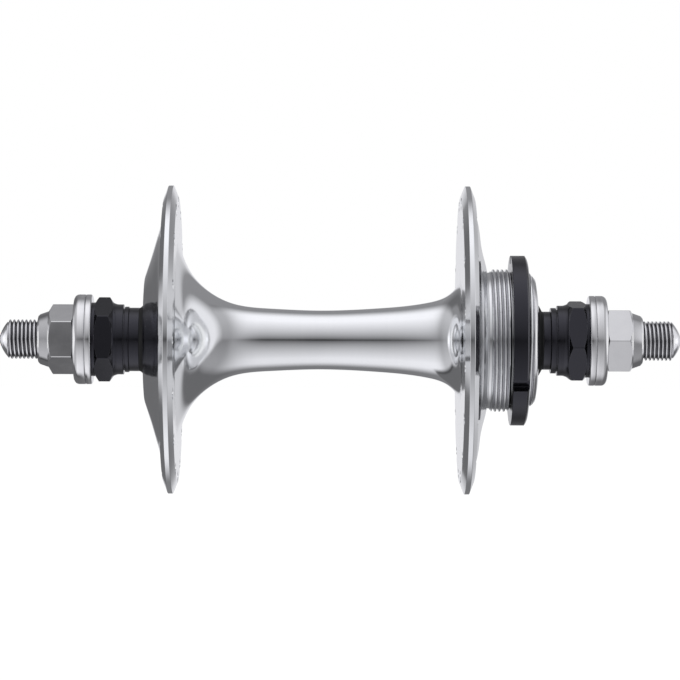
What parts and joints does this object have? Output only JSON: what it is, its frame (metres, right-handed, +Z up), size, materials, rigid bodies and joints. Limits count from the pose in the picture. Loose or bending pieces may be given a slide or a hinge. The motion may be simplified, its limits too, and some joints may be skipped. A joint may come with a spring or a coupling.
{
  "type": "bicycle track hub",
  "caption": "Rear track hub with large drilled flanges, solid threaded axle, slotted lockring, black lock nuts, washers and hexagon axle nuts.",
  "frame": {"origin": "on the axle's line, midway between the faces of the two lock nuts", "axes": "+X along the axle towards the cog side, +Z up, -Y towards the viewer of the picture"},
  "size_m": [0.165, 0.0746, 0.0746],
  "materials": {
    "polished_aluminium": "polished",
    "axle_steel": "turned and threaded",
    "washer_steel": "turned",
    "nut_chrome": "plated",
    "black_oxide_steel": "satin",
    "bearing_steel": "ground",
    "cone_steel": "ground",
    "cap_steel": "pressed",
    "seal_rubber": "matte"
  },
  "bodies": {
    "axle": {"axle": "axle_steel", "left_cone": "black_oxide_steel", "right_cone": "black_oxide_steel", "left_cone_seal": "seal_rubber", "right_cone_seal": "seal_rubber", "left_cone_washer": "black_oxide_steel", "right_cone_washer": "black_oxide_steel", "left_lock_nut": "black_oxide_steel", "right_lock_nut": "black_oxide_steel"},
    "shell": {"hub_shell": "polished_aluminium", "left_bearing_cup": "cone_steel", "right_bearing_cup": "cone_steel", "left_dust_cap": "cap_steel", "right_dust_cap": "cap_steel"},
    "left_balls": {"left_ball_set": "bearing_steel"},
    "right_balls": {"right_ball_set": "bearing_steel"},
    "lockring": {"lockring": "black_oxide_steel"},
    "left_washers": {"left_thin_washer": "washer_steel", "left_cap_washer": "washer_steel"},
    "right_washers": {"right_thin_washer": "washer_steel", "right_cap_washer": "washer_steel"},
    "left_nut": {"left_track_nut": "nut_chrome"},
    "right_nut": {"right_track_nut": "nut_chrome"}
  },
  "joints": [
    {"name": "shell_spin", "type": "hinge", "parent": "axle", "child": "shell", "pos_m": [0, 0, 0], "axis": [1, 0, 0], "continuous": true},
    {"name": "left_balls_orbit", "type": "hinge", "parent": "axle", "child": "left_balls", "pos_m": [0, 0, 0], "axis": [1, 0, 0], "continuous": true},
    {"name": "right_balls_orbit", "type": "hinge", "parent": "axle", "child": "right_balls", "pos_m": [0, 0, 0], "axis": [1, 0, 0], "continuous": true},
    {"name": "lockring_off", "type": "slide", "parent": "shell", "child": "lockring", "axis": [1, 0, 0], "range_m": [0, 0.045]},
    {"name": "left_washers_slide", "type": "slide", "parent": "axle", "child": "left_washers", "axis": [-1, 0, 0], "range_m": [0, 0.01758]},
    {"name": "right_washers_slide", "type": "slide", "parent": "axle", "child": "right_washers", "axis": [1, 0, 0], "range_m": [0, 0.01758]},
    {"name": "left_nut_turn", "type": "hinge", "parent": "left_washers", "child": "left_nut", "pos_m": [0, 0, 0], "axis": [-1, 0, 0], "range_deg": [0, 6481]},
    {"name": "right_nut_turn", "type": "hinge", "parent": "right_washers", "child": "right_nut", "pos_m": [0, 0, 0], "axis": [1, 0, 0], "range_deg": [0, 6481]}
  ],
  "couplings": [
    {"joint": "left_balls_orbit", "follows": "shell_spin", "ratio": 0.6169},
    {"joint": "right_balls_orbit", "follows": "shell_spin", "ratio": 0.6169},
    {"joint": "left_nut_turn", "follows": "left_washers_slide", "rad_per_m": 6431.6},
    {"joint": "right_nut_turn", "follows": "right_washers_slide", "rad_per_m": 6431.6}
  ]
}
